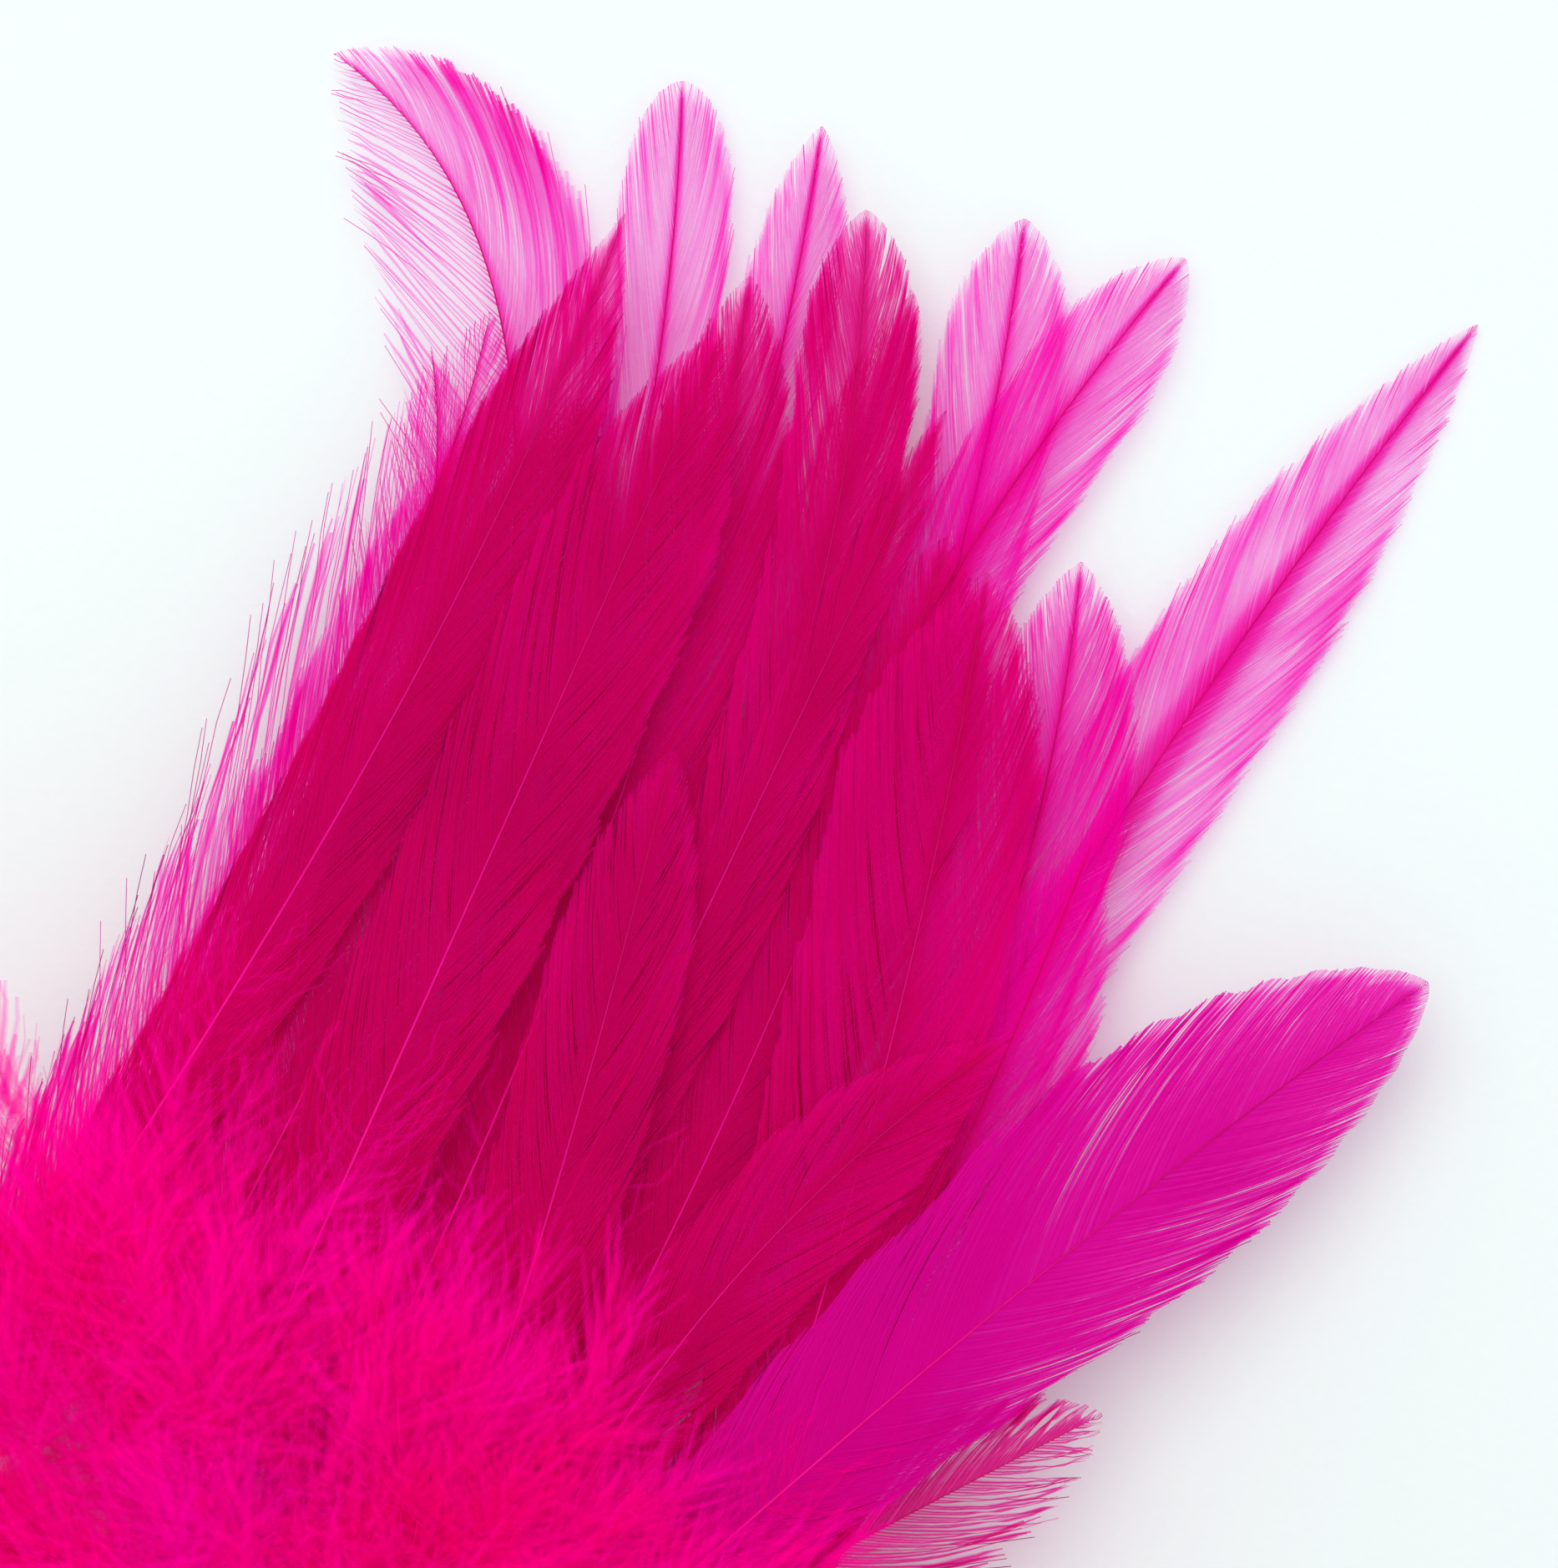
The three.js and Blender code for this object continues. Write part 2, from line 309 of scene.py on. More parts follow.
# Paler at the root than at the tip: amount = place along the quill + a little noise.
def quillRecipe(tree):
    uvMap = tree.nodes.new("ShaderNodeUVMap")
    uvMap.uv_map = "UVMap"
    split = tree.nodes.new("ShaderNodeSeparateXYZ")
    link(tree, uvMap.outputs[0], split.inputs[0])
    grain = mathNode(tree, "MULTIPLY", mathNode(tree, "SUBTRACT", noiseAt(tree, 700), 0.5), 0.4)
    return mathNode(tree, "ADD", mathNode(tree, "MULTIPLY", split.outputs["Y"], 1.25), grain, clamp=True)


def paperRecipe(tree):
    return noiseAt(tree, 900)


dye = dyeGroup()
# darkBody is the colour that tone past 1 pulls towards: painted shade on barbs that stand on edge, and dye
# patches that push the tone past 1
vaneLook = {
    "paleCover": 0.09, "deepCover": 0.44, "shaftCover": 0.05, "roughness": 0.7, "specular": 0.02, "paintedGlow": 0.0,
    "paleFilter": (1.0, 0.81, 0.955, 1), "deepFilter": (0.97, 0.10, 0.70, 1),
    "paleBody": colour(255, 0, 180), "deepBody": colour(213, 0, 112), "darkBody": colour(105, 0, 60),
    "patchScale": 70, "patchAmount": 0.5,
}
brightLook = dict(
    vaneLook, paleFilter=(1.0, 0.84, 0.975, 1), deepFilter=(0.98, 0.10, 0.80, 1),
    paleBody=colour(255, 0, 205), deepBody=colour(240, 0, 150),
)
broadLook = {
    "paleCover": 0.36, "deepCover": 0.62, "shaftCover": 0.04, "roughness": 0.6, "specular": 0.03, "paintedGlow": 0.0,
    "paleFilter": (0.99, 0.50, 0.92, 1), "deepFilter": (0.95, 0.06, 0.78, 1),
    "paleBody": colour(250, 0, 185), "deepBody": colour(222, 0, 158), "darkBody": colour(110, 0, 70),
    "patchScale": 60, "patchAmount": 0.4,
}
# the down's paintedGlow is painted light: it emits its own colour, standing in for light scattered many times
# inside the fluff
downLook = {
    "paleCover": 0.10, "deepCover": 0.22, "shaftCover": 0.05, "roughness": 0.9, "specular": 0.0, "paintedGlow": 0.11,
    "paleFilter": (1.0, 0.85, 0.98, 1), "deepFilter": (1.0, 0.75, 0.95, 1),
    "paleBody": (1.0, 0.0, 0.45, 1), "deepBody": (0.86, 0.0, 0.24, 1), "darkBody": colour(150, 0, 60),
    "patchScale": 55, "patchAmount": 1.9,
}
bodyLook = dict(downLook, paleCover=0.22, deepCover=0.42)
vaneMaterials = {
    "deep": featherMaterial("hackleVane", dye, vaneLook),
    "bright": featherMaterial("brightVane", dye, brightLook),
    "broad": featherMaterial("broadVane", dye, broadLook),
}
downMaterial = featherMaterial("dyedDown", dye, downLook)
bodyMaterial = featherMaterial("dyedBodyDown", dye, bodyLook)
quill = {"root": colour(255, 0, 165), "tip": colour(186, 0, 96)}
quillMaterial = mixedMaterial("hackleQuill", quill["root"], quill["tip"], 0.5, quillRecipe, 0.00002)
cotton = {"dark": colour(205, 5, 104), "light": colour(255, 45, 160)}
thread = {"dark": colour(105, 2, 50), "light": colour(200, 16, 105)}
ropeMaterial = mixedMaterial("cordCotton", cotton["dark"], cotton["light"], 0.85, weave(260), 0.0003)
threadMaterial = mixedMaterial("whippingThread", thread["dark"], thread["light"], 0.5, weave(520), 0.00015)
tapeMaterial = mixedMaterial("tapeCotton", cotton["dark"], cotton["light"], 0.9, weave(380), 0.0002)
print("materials made")


# Where the quill is sewn on, the pull point of its bend and its tip, all across and along the tuft, and the
# full width, in mm, and the layer, as the plain blades have them. The rest is finish: dye is how strongly the
# vane is coloured, low the part of its length below which it deepens, sparse how far its barbs stand apart,
# clump how they gather, taper the length of its tip, point 0.5 for a round tip and more for a sharp one, and
# angle how far a barb stands off the quill to the left and right, in degrees. Some rows also have tipFade,
# how much the tip pales, band, the width of the deep band along the quill, parts, the vane's width against
# the blade's, foot, how fast it narrows to the root, and flaws, how ragged its barbs are.
nearHackles = [
    {"root": -39, "bend": (-34, 45), "tip": (-41, 84), "width": 16, "layer": 12,
     "dye": 0.4, "sparse": (0.6, 0.1), "clump": 0.35, "taper": 40, "point": 0.9, "angle": (25, 17),
     "low": 0.4, "finish": "bright", "parts": (1.3, 1.0)},
    {"root": -38, "bend": (-36, 80), "tip": (-50, 118), "width": 19, "layer": 8,
     "dye": 0.30, "sparse": (0.75, 0.3), "clump": 0.15, "taper": 34, "point": 0.8, "angle": (15, 16),
     "low": 0.4, "finish": "bright"},
    {"root": -36, "bend": (-33, 85), "tip": (-44, 132.5), "width": 13, "layer": 19,
     "dye": 0.95, "sparse": 0.0, "clump": 0.1, "taper": 34, "point": 1.0, "angle": (13, 13), "tipFade": 0.6},
    {"root": -32, "bend": (-36, 75), "tip": (-47, 108), "width": 12, "layer": 9,
     "dye": 0.4, "sparse": 0.2, "clump": 0.3, "taper": 30, "point": 1.0, "angle": (17, 17),
     "low": 0.4, "finish": "bright"},
    {"root": -22, "bend": (-24, 70), "tip": (-38, 116), "width": 15, "layer": 16,
     "dye": 0.95, "sparse": 0.0, "clump": 0.25, "taper": 26, "point": 0.8, "angle": (17, 17)},
    {"root": -18, "bend": (-34, 92), "tip": (-53, 112), "width": 13, "layer": 3,
     "dye": 0.30, "sparse": (0.7, 0.3), "clump": 0.25, "taper": 26, "point": 0.9, "angle": (17, 16),
     "low": 0.4, "finish": "bright"},
    {"root": -11, "bend": (-23, 80), "tip": (-30, 128), "width": 16, "layer": 22,
     "dye": 0.95, "sparse": 0.0, "clump": 0.25, "taper": 26, "point": 0.8, "angle": (16, 16)},
    {"root": -10, "bend": (-26.5, 129), "tip": (-76, 131), "width": 20, "layer": 2,
     "dye": 0.1, "sparse": (0.75, 0.2), "clump": 0.1, "taper": 24, "point": 0.8, "angle": (25, 17),
     "band": 0.45, "low": 0.3, "finish": "bright"},
    {"root": -6, "bend": (-13, 91), "tip": (-46.6, 146.6), "width": 10.5, "layer": 4,
     "dye": 0.05, "sparse": 0.0, "clump": 0.15, "taper": 12, "point": 0.55, "angle": (12, 12), "band": 0.4,
     "finish": "bright"},
    {"root": -4, "bend": (12, 85), "tip": (-25, 145), "width": 11, "layer": 17,
     "dye": 0.80, "sparse": 0.0, "clump": 0.1, "taper": 14, "point": 0.7, "angle": (15, 15), "tipFade": 0.4},
    {"root": -2, "bend": (-10, 90), "tip": (-31, 134), "width": 14, "layer": 13,
     "dye": 0.85, "sparse": 0.0, "clump": 0.3, "taper": 24, "point": 0.8, "angle": (15, 15), "tipFade": 0.45},
    {"root": 2, "bend": (-8, 95), "tip": (-33, 150), "width": 9, "layer": 7,
     "dye": 0.12, "sparse": 0.0, "clump": 0.15, "taper": 16, "point": 0.8, "angle": (15, 15),
     "finish": "bright"},
    {"root": 5, "bend": (-4, 90), "tip": (-17, 141), "width": 8, "layer": 11,
     "dye": 0.60, "sparse": 0.0, "clump": 0.2, "taper": 16, "point": 0.8, "angle": (16, 16)},
    {"root": 7, "bend": (-2, 80), "tip": (-8.5, 133), "width": 6, "layer": 18,
     "dye": 0.95, "sparse": 0.0, "clump": 0.05, "taper": 20, "point": 0.9, "angle": (14, 14)},
    {"root": 12, "bend": (18, 90), "tip": (-12, 153), "width": 12, "layer": 5,
     "dye": 0.15, "sparse": 0.0, "clump": 0.15, "taper": 14, "point": 0.7, "angle": (17, 17), "band": 0.8,
     "finish": "bright"},
    {"root": 13, "bend": (0, 55), "tip": (-13, 92), "width": 13, "layer": 23,
     "dye": 0.95, "sparse": 0.0, "clump": 0.25, "taper": 24, "point": 0.8, "angle": (17, 17)},
    {"root": 15, "bend": (12, 75), "tip": (-2, 123), "width": 15, "layer": 15,
     "dye": 0.95, "sparse": 0.0, "clump": 0.25, "taper": 24, "point": 0.8, "angle": (17, 17),
     "parts": (1.0, 1.3)},
    {"root": 17, "bend": (-6, 95), "tip": (3, 158), "width": 12, "layer": 6,
     "dye": 0.20, "sparse": 0.0, "clump": 0.15, "taper": 16, "point": 0.75, "angle": (18, 18), "band": 1.0,
     "finish": "bright"},
    {"root": 19, "bend": (34, 28), "tip": (54, 61), "width": 15, "layer": 20,
     "dye": 0.9, "sparse": (0.2, 0.6), "clump": 0.9, "taper": 20, "point": 0.7, "angle": (22, 24)},
    {"root": 20, "bend": (10, 45), "tip": (28, 86), "width": 13, "layer": 24,
     "dye": 0.75, "sparse": 0.0, "clump": 0.25, "taper": 24, "point": 0.9, "angle": (18, 18)},
    {"root": 21, "bend": (39, 66), "tip": (58.5, 111.5), "width": 24, "layer": 25,
     "dye": 1.0, "sparse": 0.0, "clump": 0.05, "taper": 34, "point": 0.7, "angle": (22, 22), "tipFade": 0.5,
     "finish": "broad", "parts": (1.05, 0.8), "foot": 2.0, "flaws": 0.3},
    {"root": 30, "bend": (22, 95), "tip": (30, 168), "width": 15, "layer": 1,
     "dye": 0.1, "sparse": 0.0, "clump": 0.15, "taper": 44, "point": 0.85, "angle": (18, 19), "band": 1.15,
     "low": 0.36, "finish": "bright"},
    {"root": 36, "bend": (34, 60), "tip": (25, 106), "width": 16, "layer": 14,
     "dye": 0.35, "sparse": 0.0, "clump": 0.3, "taper": 26, "point": 0.8, "angle": (17, 17),
     "low": 0.3, "finish": "bright"},
    {"root": 38, "bend": (32, 85), "tip": (10, 128), "width": 16, "layer": 10,
     "dye": 0.42, "sparse": 0.0, "clump": 0.3, "taper": 22, "point": 0.8, "angle": (17, 17),
     "low": 0.3, "finish": "bright"},
    {"root": 40, "bend": (24, 74), "tip": (3, 122), "width": 17, "layer": 21,
     "dye": 0.7, "sparse": 0.0, "clump": 0.25, "taper": 24, "point": 0.8, "angle": (17, 17), "low": 0.5,
     "parts": (1.2, 1.0)},
]
vane = {
    "step": 0.25,  # mm between barbs along the quill
    "from": 0.06,  # where the vane starts, as a part of the feather's length
    "points": 9,
    "camber": 0.12,
    "layerStep": 0.7,
    "settle": 0.5,  # how much closer together the layers lie at the tips
    "shadedBarbs": 0.06,  # part of the barbs that stand on edge and are painted dark, as painted shade
    "gaps": 0.02,  # part of the barbs that are missing
    "fill": 1.8,  # half width of a barb against the distance to its neighbours
    "splits": 3,  # slits in the vane on each side
    "fringe": 2.0,  # mm at the end of a barb over which it narrows
    "bow": 1.35,  # a barb's angle where it leaves the quill, against its angle as a whole
    "quillGap": 0.4,  # mm from the hinge to the end of the quill
    "settleOver": 110,  # mm from the tape to where the layers have settled
    "lineSteps": 400,
}


# Feather i stands at angle 6 * (i - middle) degrees, alternately 126 and 142 mm long.
def farFan(count=8):
    rows = []
    for index in range(count):
        place = index - (count - 1) / 2
        angle = math.radians(place * 6)
        length = 142 if index % 2 else 126
        rows.append({
            "root": place * 8,
            "bend": (place * 8 + length * 0.5 * math.sin(angle * 0.4), length * 0.55),
            "tip": (place * 8 + length * math.sin(angle), length * math.cos(angle)),
            "width": 17, "layer": (index * 3) % count + 1, "dye": 0.6, "sparse": 0.1, "clump": 0.3,
            "taper": 20 + 6 * (index % 3), "point": 0.75, "angle": (18, 18),
        })
    return rows


# Quadratic curve from the quill end to the tip: point, unit direction and right-hand side, in tuft mm.
def quillLine(row, places):
    start = np.array([row["root"], vane["quillGap"]])
    pull = np.array(row["bend"], float)
    tip = np.array(row["tip"], float)
    t = np.asarray(places, float)[:, None]
    point = start * (1 - t) ** 2 + pull * 2 * t * (1 - t) + tip * t * t
    along = unit((pull - start) * (1 - t) + (tip - pull) * t)
    side = np.stack([along[:, 1], -along[:, 0]], axis=-1)
    return point, along, side


# How far a point drops below its layer's flat plane, in mm, where reach = out / settleOver:
# layer height * settle * reach^2 * (3 - 2 * reach).
def settled(row, outward):
    reach = np.clip(outward / vane["settleOver"], 0, 1)
    return (row["layer"] - 1) * vane["layerStep"] * vane["settle"] * reach * reach * (3 - 2 * reach)


# Tuft mm to metres in the row frame: origin + across * x + out * y + up * z.
def toWorld(place, flat, height):
    return place["origin"] + (
        flat[..., :1] * place["across"] + flat[..., 1:2] * place["out"] + height[..., None] * place["up"]
    ) * mm


# A value given for both sides of the quill, or one for each.
def sideOf(value, side):
    return value[0 if side < 0 else 1] if isinstance(value, tuple) else value


# Half width so far along the quill, in mm: part * width / 2 * foot * (1 - (1 - left / taper)^2)^point.
def halfWidth(row, length, travelled, side):
    foot = np.interp(travelled / length, (0, 0.1, 0.25, 0.45, 0.65, 1), (0.35, 0.6, 0.75, 0.9, 1, 1))
    foot = foot ** row.get("foot", 1) * sideOf(row.get("parts", 1), side)
    left = np.clip((length - travelled) / row["taper"], 0, 1)
    return row["width"] / 2 * foot * np.maximum(1 - (1 - left) ** 2, 0) ** row["point"]


# Barbs on one side. A barb that ends on the outline at e starts at e - halfWidth(e) / tan(angle), so the
# starts are spaced evenly and the ends are looked up. Each is a quadratic curve that leaves the quill at bow
# times that angle. Ends are drawn to the middle of their clump and away from the slits. A barb's half width
# is fill times the gap beside it, so that neighbours overlap into an even film.
def vanePart(row, place, base, side, rng):
    t = np.linspace(0, 1, vane["lineSteps"])
    sparse = sideOf(row["sparse"], side)
    steps = np.linalg.norm(np.diff(quillLine(row, t)[0], axis=0), axis=1)
    travelled = np.concatenate([[0], np.cumsum(steps)])
    length = travelled[-1]
    # barbs stand off more at the root than at the tip
    lean = np.radians(sideOf(row["angle"], side)) * np.interp(t, (0, 0.4, 1), (1.5, 1.15, 0.85))
    starts = travelled - halfWidth(row, length, travelled, side) / np.tan(lean)
    starts = np.maximum.accumulate(starts) + t * 1e-4
    count = int(length * (1 - vane["from"]) / (vane["step"] * (1 + 3 * sparse ** 2)))
    begin = np.linspace(vane["from"] * length, length * 0.9985, count) + rng.normal(0, 0.03, count)
    flaws = row.get("flaws", 1)
    kept = rng.uniform(0, 1, count) > vane["gaps"] * (1 + 4 * sparse) * flaws
    begin = np.sort(begin[kept])
    count = len(begin)
    end = np.interp(begin, starts, travelled)
    # clumps and slits move the ends a little; both fade out over the last 9 mm
    clumpSize = 1.0 + 2.4 * row["clump"]
    cell = (begin + 0.8 * np.sin(begin * 0.9 + rng.uniform(0, 6))) / clumpSize
    fade = np.clip((length - begin) / 9, 0, 1)
    end = end + (np.floor(cell) + 0.5 - cell) * clumpSize * row["clump"] * 0.6 * fade
    for slit in rng.uniform(0.35, 0.93, vane["splits"]) * length:
        away = begin - slit
        end = end + np.sign(away) * rng.uniform(0.1, 0.4) * np.exp(-np.abs(away) / 3) * fade
    end = np.clip(end, 0, length)
    root, along, right = quillLine(row, np.interp(begin, travelled, t))
    top, _, topRight = quillLine(row, np.interp(end, travelled, t))
    # painted shade: these barbs are coloured dark towards their ends, standing in for the shade on barbs that
    # stand on edge
    dark = rng.uniform(0, 1, count) < vane["shadedBarbs"] * (1 + 6 * sparse ** 2) * flaws
    jitter = rng.normal(0, (0.025 + 0.05 * sparse) * flaws, count)
    uneven = 1 + 0.025 * np.sin(begin * 0.7 + rng.uniform(0, 6)) + jitter
    uneven = uneven + np.where(dark, rng.uniform(0.0, 0.06 + 0.3 * sparse, count), 0)
    top = top + topRight * (side * halfWidth(row, length, end, side) * uneven)[:, None]
    chord = np.linalg.norm(top - root, axis=1)
    off = np.interp(begin, travelled, lean) * vane["bow"]
    off = off * (1 + rng.normal(0, (0.02 + 0.05 * sparse) * flaws, count))
    leaving = along * np.cos(off)[:, None] + right * (side * np.sin(off))[:, None]
    pull = root + leaving * (chord * 0.5)[:, None]
    # the barbs as curves, with a small ripple that grows outwards
    s = np.linspace(0, 1, vane["points"])[None, :, None]
    flat = root[:, None] * (1 - s) ** 2 + pull[:, None] * 2 * s * (1 - s) + top[:, None] * s * s
    run = unit(np.gradient(flat, axis=1))
    beside = np.stack([run[..., 1], -run[..., 0]], -1)
    phase = rng.uniform(0, 6, (count, 1, 1))
    ripple = (0.02 + 0.12 * sparse) * s * np.sin(s * chord[:, None, None] * 2.2 + phase)
    flat = flat + beside * ripple
    # widths from the gaps between neighbours; barbs on edge are narrow
    between = np.abs(np.sum(np.diff(flat, axis=0) * beside[:-1], axis=-1))
    before, after = np.concatenate([between[:1], between]), np.concatenate([between, between[-1:]])
    apart = np.minimum((before + after) / 2, 1.6 * np.minimum(before, after))
    s = s[..., 0]
    half = np.clip(apart * vane["fill"] * (1 - 1.1 * sparse), 0.05, 0.6)
    half = half * np.clip((1.03 - s) * chord[:, None] / vane["fringe"], 0.3, 1)
    half = np.where(dark[:, None], 0.06 + 0.05 * (1 - s), half)
    height = base + 0.03 - vane["camber"] * s ** 2 - settled(row, flat[..., 1])
    height = height + rng.normal(0, 0.02 + 0.2 * sparse, count)[:, None] * s ** 2
    centre = toWorld(place, flat, height)
    across = unit(np.cross(np.gradient(centre, axis=1), place["up"] + side * 0.1 * place["across"]))
    # tone = dye, paler to the tip and the edge, + the band along the quill + the deep lower part + painted
    # shade on the outer part of barbs that stand on edge
    outward = np.abs(np.sum((flat - root[:, None]) * right[:, None], axis=-1))
    band = 0.25 + 4.6 * row.get("band", 0.6) * (1 - begin / length)[:, None] ** 1.2
    nearTip = np.clip(1 - (length - begin) / row["taper"], 0, 1)[:, None]
    fading = 1 - row.get("tipFade", 0.2) * nearTip * (0.3 + 0.7 * s)
    fading = fading * (1 - 0.25 * s ** 3)
    tone = (row["dye"] + 0.5 * sparse) * fading * (1 + rng.normal(0, 0.13, count))[:, None]
    tone = tone + 0.95 * np.exp(-(outward / band) ** 3)
    tone = tone + np.clip((row.get("low", 0.58) - begin / length) * 3, 0, 1)[:, None]
    # painted shade: the outer part of a barb that stands on edge is pushed past tone 1, towards darkBody
    tone = np.minimum(tone, 1) + np.where(dark, 0.9, 0)[:, None] * np.clip(s * 2.2 - 0.9, 0, 1)
    return ribbonPart(centre, across, half * mm, tone)


# Loose down on the quill's foot: root on the quill, length * s outwards, with two sine waves across it.
def basePart(row, place, base, rng, count):
    t = rng.uniform(0.01, 0.34, count)
    root, along, right = quillLine(row, t)
    side = rng.choice([-1.0, 1.0], count)
    angle = np.radians(rng.uniform(25, 85, count))
    length = rng.uniform(7, 15, count) * (1.15 - t)
    s = np.linspace(0, 1, 8)[None, :]
    bend = angle[:, None] * (1 - 0.5 * s)
    wave = 0.9 * s * np.sin(s * rng.uniform(5, 12, count)[:, None] + rng.uniform(0, 6, count)[:, None])
    forward = length[:, None] * s * np.cos(bend) + wave * np.sin(bend)
    sideways = length[:, None] * s * np.sin(bend) - wave * np.cos(bend)
    sideways = side[:, None] * sideways
    flat = root[:, None] + along[:, None] * forward[..., None] + right[:, None] * sideways[..., None]
    lift = rng.normal(0, 1.6, count)[:, None] * s
    lift = lift + 0.5 * s * np.sin(s * 9 + rng.uniform(0, 6, count)[:, None])
    height = base + lift - settled(row, flat[..., 1])
    centre = toWorld(place, flat, height)
    centre[..., 2] = np.maximum(centre[..., 2], floorGap)
    run = np.gradient(centre, axis=1)
    tilt = unit(place["up"] + rng.normal(0, 0.35, (count, 1, 3)))
    across = unit(np.cross(run, tilt))
    width = rng.choice([0.16, 0.5], (count, 1)) * (1 - 0.6 * s) * mm
    return ribbonPart(centre, across, width, 0.5 + rng.normal(0, 0.15, count)[:, None] * np.ones_like(s), 1)


# The quill: radius 0.16 * (1 - t)^1.1 + 0.035 mm, along the feather's curve.
def quillPart(row, place, base):
    t = np.linspace(0, 1, 44)
    flat, along, right = quillLine(row, t)
    height = base + 0.06 - settled(row, flat[:, 1])
    path = toWorld(place, flat, height)
    radius = (0.16 * (1 - t) ** 1.1 + 0.035) * mm
    radius[-1] = radius[0] * 0.02
    side = right[:, :1] * place["across"] + right[:, 1:2] * place["out"]
    up = np.broadcast_to(place["up"], side.shape)
    return tubePart(path, radius, side, up, 6, 0.6, 2)


bladeMiddle = 0.2  # mm from the hinge's height up to the middle of the blade
footBarbs = 260


# Both sides of the vane, the down on its foot and the quill, as one piece that stands for the plain blade.
def hackle(end, index, row, place, seed):
    rng = np.random.default_rng(seed)
    parts = [
        vanePart(row, place, bladeMiddle, -1, rng),
        vanePart(row, place, bladeMiddle, 1, rng),
        basePart(row, place, bladeMiddle, rng, footBarbs),
        quillPart(row, place, bladeMiddle),
    ]
    node = f"hackle_{end}_{index + 1:02d}"
    vaneMaterial = vaneMaterials[row.get("finish", "deep")]
    piece = pieceFrom("feather_" + node, parts, [vaneMaterial, downMaterial, quillMaterial])
    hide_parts(node)
    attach(piece, node)


# Each feather keeps the height of its own hinge, so its layer comes from the frame.
def tuftOfHackles(end, rows, seed):
    place = tuftFrame(end, [row["root"] for row in rows])
    for index, row in enumerate(rows):
        own = dict(place)
        foot = anchor(f"splay_{end}_{index + 1:02d}")
        own["origin"] = place["origin"] + place["up"] * ((foot - place["origin"]) @ place["up"])
        hackle(end, index, row, own, seed + index)
    print(end, "tuft:", len(rows), "hackles")
    return place


nearPlace = tuftOfHackles("near", nearHackles, 100)
farPlace = tuftOfHackles("far", farFan(), 400)


# Plume: shaft(v) = root + length * (direction * v + curl * v^2). Barb: from the shaft at v, turned off it by
# 60 - 32 * v degrees to any side, with a growing sine wave across it. Points lower than softFloor over the
# floor are eased up to it. All plumes are made in one array.
def plumeParts(roots, directions, lengths, rng, kind):
    barbs, points = kind["barbs"], kind["points"]
    count = len(roots)
    v = np.broadcast_to(np.linspace(0.12, 1.0, barbs), (count, barbs)) + rng.normal(0, 0.01, (count, barbs))
    any1 = unit(np.cross(directions, rng.normal(0, 1, (count, 3))))
    any2 = np.cross(directions, any1)
    curl = rng.normal(0, 0.18, (count, 1, 1))
    shaft = roots[:, None, :] + lengths[:, None, None] * (
        directions[:, None, :] * v[..., None] + any1[:, None, :] * curl * v[..., None] ** 2
    )
    turn = rng.uniform(0, 2 * math.pi, (count, barbs))
    off = np.radians(60 - 32 * v)
    aside = any1[:, None, :] * np.cos(turn)[..., None] + any2[:, None, :] * np.sin(turn)[..., None]
    way = directions[:, None, :] * np.cos(off)[..., None] + aside * np.sin(off)[..., None]
    s = np.linspace(0, 1, points)
    long = (kind["barbLength"] * (1.15 - 0.75 * v) * rng.uniform(0.7, 1.2, (count, barbs)))[..., None]
    waveWay = np.cross(way, directions[:, None, :] + rng.normal(0, 0.5, (count, barbs, 3)))
    swing = rng.uniform(0, 6.28, (count, barbs, 1)) + s * rng.uniform(4, 9, (count, barbs, 1))
    wave = 0.09 * long * s * (np.sin(swing) - np.sin(swing[..., :1]))
    lean = directions[:, None, None, :] * (0.25 * long * s * s)[..., None]
    centre = shaft[:, :, None] + way[:, :, None] * (long * s)[..., None] + lean
    centre = (centre + waveWay[:, :, None] * wave[..., None]).reshape(-1, points, 3)
    high = centre[..., 2] - floorGap
    eased = softFloor * np.exp(np.minimum(high, softFloor) / softFloor - 1)
    centre[..., 2] = floorGap + np.where(high < softFloor, eased, high)
    run = unit(np.gradient(centre, axis=1))
    tilt = rng.normal(0, 0.3, (len(centre), 1, 3)) + np.array([0.0, 0.0, 1.0])
    across = unit(np.cross(run, tilt))
    width = kind["barbHalf"] * (1 - 0.6 * s)[None, :] * rng.choice([0.35, 1.0, 1.0], (len(centre), 1))
    depth = np.repeat(rng.normal(0.4, 0.1, count), barbs)[:, None] + 0.25 * (1 - s)[None, :]
    return [ribbonPart(centre, across, width, depth)]


segmentCount = 8
body = {
    "plumes": 240,
    "shortShare": 0.4,  # part of the plumes that stay close to the cord and hide it
    "shortReach": 0.3,
    "barbs": 44,
    "points": 5,
    "barbLength": 15 * mm,
    "barbHalf": 1.2 * mm,
    "width": 44 * mm,
    "height": 32 * mm,
    "bluntEnd": 26 * mm,  # from the tape to the first plume of an end piece
    "bendReach": 45 * mm,  # from a hinge to where its bend ends on both sides
    "rootGap": 3 * mm,
    "barbRoom": 5 * mm,
}
cordHeight = anchor("core_bend_01")[2]


# Ends of the segments: near tape, the seven hinges, far tape, all at cord height.
def cordPoints():
    points = [nearPlace["origin"].copy()]
    points += [anchor(f"core_bend_{number:02d}") for number in range(1, segmentCount)]
    points.append(farPlace["origin"].copy())
    for point in points:
        point[2] = cordHeight
    return np.array(points)


cordLine = cordPoints()


